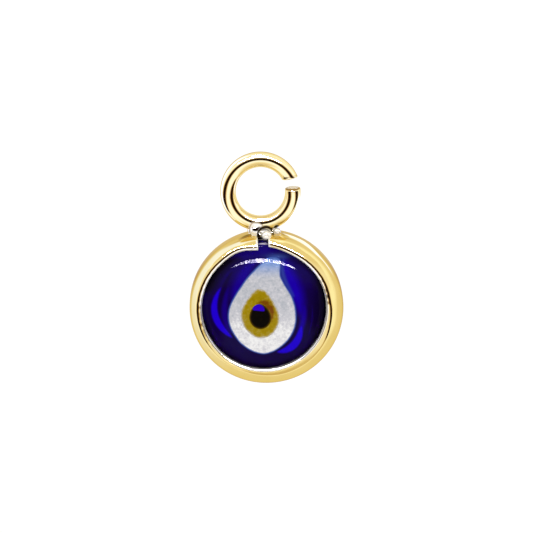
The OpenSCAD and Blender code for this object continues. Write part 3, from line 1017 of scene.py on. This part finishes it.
def make_camera():
    """A long lens on the ring's side of the face's normal, turned so that the ring leans left."""
    towards = Vector((0, math.sin(VIEW_TILT), math.cos(VIEW_TILT)))
    level_right = Vector((1, 0, 0))
    level_up = towards.cross(level_right)
    right = level_right * math.cos(VIEW_ROLL) - level_up * math.sin(VIEW_ROLL)
    up = level_up * math.cos(VIEW_ROLL) + level_right * math.sin(VIEW_ROLL)
    middle = IMAGE_SIDE / 2
    aside = (middle - BEZEL_PIXEL[0]) / PIXELS_PER_M
    above = (BEZEL_PIXEL[1] - middle) / PIXELS_PER_M
    bezel_middle = Vector((*BEZEL_AT[:2], BEZEL_H / 2))
    target = bezel_middle + right * aside + up * above
    data = bpy.data.cameras.new("camera")
    data.sensor_width = SENSOR
    data.lens = SENSOR * VIEW_DISTANCE * PIXELS_PER_M / IMAGE_SIDE
    data.clip_start = 0.005
    camera = bpy.data.objects.new("camera", data)
    bpy.context.scene.collection.objects.link(camera)
    basis = Matrix((right, up, towards)).transposed().to_4x4()
    camera.matrix_world = Matrix.Translation(target + towards * VIEW_DISTANCE) @ basis
    bpy.context.scene.camera = camera


# Studio: bands of light and dark that the polished metal mirrors, as angles from an axis
# that points down the pendant and up, each with its tone
STUDIO_AXIS = (0, -0.751, 0.661)
WHITE, BRIGHT, EVEN = (1.5, 1.75, 2.6), (1.14, 1.22, 1.6), (1.01, 1.01, 1.01)
IVORY, SAND, TAN = (0.98, 0.95, 0.88), (0.80, 0.69, 0.52), (0.62, 0.44, 0.28)
UMBER, BLACK, COOL = (0.16, 0.05, 0.02), (0.012, 0.005, 0.003), (1.25, 1.4, 1.75)
STUDIO_BANDS = [
    (0, IVORY), (16, IVORY), (26, BRIGHT), (40, BRIGHT), (43, IVORY), (46, TAN), (49, UMBER),
    (52, BLACK), (71, BLACK), (74, UMBER), (77, TAN), (82, IVORY), (88, BRIGHT), (102, BRIGHT),
    (112, EVEN), (180, EVEN),
]
# Patches of other tones: direction round from the right, angle from straight up, inner and
# outer radius in degrees, tone
STUDIO_PATCHES = [
    (90, 6, 9, 12, BLACK),
    (235, 86, 13, 21, EVEN),
    (305, 86, 13, 21, (0.76, 0.64, 0.47)),
    (285, 70, 12, 30, (0.86, 0.79, 0.66)),
    (270, 66, 10, 28, SAND),
    (0, 90, 4, 9, COOL),
    (180, 90, 4, 9, COOL),
    (112, 90, 2, 6, WHITE),
    (147, 90, 2, 6, WHITE),
    (74, 92, 3, 8, WHITE),
]
# Lamps that the glass mirrors: axis, angle from it, half thickness, middle, reach, brightness
STUDIO_LAMPS = [
    ((-0.085, -0.398, 0.914), 71.7, 2.4, (0.01, 0.747, 0.665), 35.6, 560.0),
    ((0, 0, 1), 74.0, 1.2, (0, 0.961, 0.276), 13.0, 200.0),
]
LAMP_TONE, LAMP_SOFT = (0.82, 0.76, 1.0), (-0.3, 0.3)
# Streaks across the lamps: how the sphere of directions is drawn out and shifted for their
# noise, its scale, detail and roughness, and the values that turn it dark and bright
STREAK_STRETCH, STREAK_SHIFT = (1, 0.1, 0), (7.3, 2.1, 0.4)
STREAK_NOISE, STREAK_STEP = (34, 3, 0.7), (0.36, 0.64)
# The studio's tone in a mirror's mirror, which begins past this glossy depth
SECOND_MIRROR, FIRST_DEPTH = (0.9, 0.88, 0.82), 1.5
# The white light on all that isn't a mirror, and the floor's white to the camera
PLAIN_LIGHT, PLAIN_FLOOR = 1.12, 1.05


def make_light():
    """An even white world; mirrors see its bands, patches and lamps, the camera plain white."""
    world = bpy.data.worlds.new("studio")
    bpy.context.scene.world = world
    world.use_nodes = True
    tree = world.node_tree
    coords = tree.nodes.new("ShaderNodeTexCoord").outputs["Generated"]
    unit = vector_maths(tree, "NORMALIZE", coords)[0]

    def angle_from(axis):
        dot = vector_maths(tree, "DOT_PRODUCT", unit, Vector(axis).normalized())["Value"]
        return maths(tree, "DEGREES", maths(tree, "ARCCOSINE", dot))

    brightest = max(max(tone) for _, tone in STUDIO_BANDS)
    colour = bright_ramp(tree, angle_from(STUDIO_AXIS), 180, STUDIO_BANDS, brightest)
    for around, down, inner, outer, tone in STUDIO_PATCHES:
        around, down = math.radians(around), math.radians(down)
        flat = math.sin(down)
        middle = (flat * math.cos(around), flat * math.sin(around), math.cos(down))
        share = step_between(tree, angle_from(middle), outer, inner)
        colour = blend_colours(tree, share, colour, tone)
    across = vector_maths(tree, "MULTIPLY_ADD", unit, STREAK_STRETCH, STREAK_SHIFT)[0]
    streaks = step_between(tree, noise(tree, across, *STREAK_NOISE), *STREAK_STEP)
    for axis, angle, half_width, middle, reach, level in STUDIO_LAMPS:
        off_line = maths(tree, "ABSOLUTE", maths(tree, "SUBTRACT", angle_from(axis), angle))
        along = maths(tree, "POWER", maths(tree, "DIVIDE", angle_from(middle), reach), 2)
        width = product(tree, less(tree, along), half_width)
        inside = step_between(tree, maths(tree, "SUBTRACT", width, off_line), *LAMP_SOFT)
        lamp = vector_maths(tree, "SCALE", LAMP_TONE, Scale=product(tree, inside, streaks, level))
        colour = vector_maths(tree, "ADD", colour, lamp[0])[0]
    path = node(tree, "ShaderNodeLightPath")
    again = maths(tree, "GREATER_THAN", path.outputs["Glossy Depth"], FIRST_DEPTH)
    colour = blend_colours(tree, again, colour, SECOND_MIRROR)
    colour = blend_colours(tree, path.outputs["Is Glossy Ray"], (PLAIN_LIGHT,) * 3, colour)
    tree.links.new(colour, tree.nodes["Background"].inputs["Color"])


# The stage
make_camera()
make_floor()
make_light()
bpy.context.scene.view_settings.view_transform = "Standard"

# The materials
rim_gold = gold_material("rim_gold", (0.79, 0.59, 0.195), (0.82, 0.62, 0.215), 0.03)
solder_gold = gold_material("solder_gold", (0.90, 0.76, 0.42), (0.94, 0.82, 0.52), 0.16)
wire_gold = gold_material("wire_gold", (0.95, 0.79, 0.38), (0.98, 0.83, 0.43), 0.03)
cobalt = glass("cobalt_glass", cobalt_tone)
white = glass("white_glass", white_tone)
amber = glass("amber_glass", amber_tone)
dark = glass("dark_glass", pupil_tone, 0.012)

# The pieces
bezel = make_bezel(rim_gold)
jump_ring = make_ring(wire_gold)
solder = make_solder(solder_gold)
for metal in (bezel, jump_ring, solder):
    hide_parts("setting")

bead = make_bead(cobalt)
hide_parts("glass_bead")
paint_bead(bead)

white_inlay = make_inlay(
    "white_glass_drop", WHITE_OUTLINE, AMBER_OUTLINE,
    DOME_TOP - WHITE_DEPTH, DOME_TOP - AMBER_DEPTH - GLASS_GAP, white,
)
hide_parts("white_drop")
paint_white(white_inlay)

amber_inlay = make_inlay(
    "amber_glass_drop", AMBER_OUTLINE, PUPIL_OUTLINE,
    DOME_TOP - AMBER_DEPTH, DOME_TOP - PUPIL_DEPTH - GLASS_GAP, amber,
)
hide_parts("amber_drop")
paint_amber(amber_inlay)

pupil_inlay = make_inlay(
    "pupil_glass", PUPIL_OUTLINE, None, DOME_TOP - PUPIL_DEPTH, None, dark,
)
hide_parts("pupil")
paint_pupil(pupil_inlay)
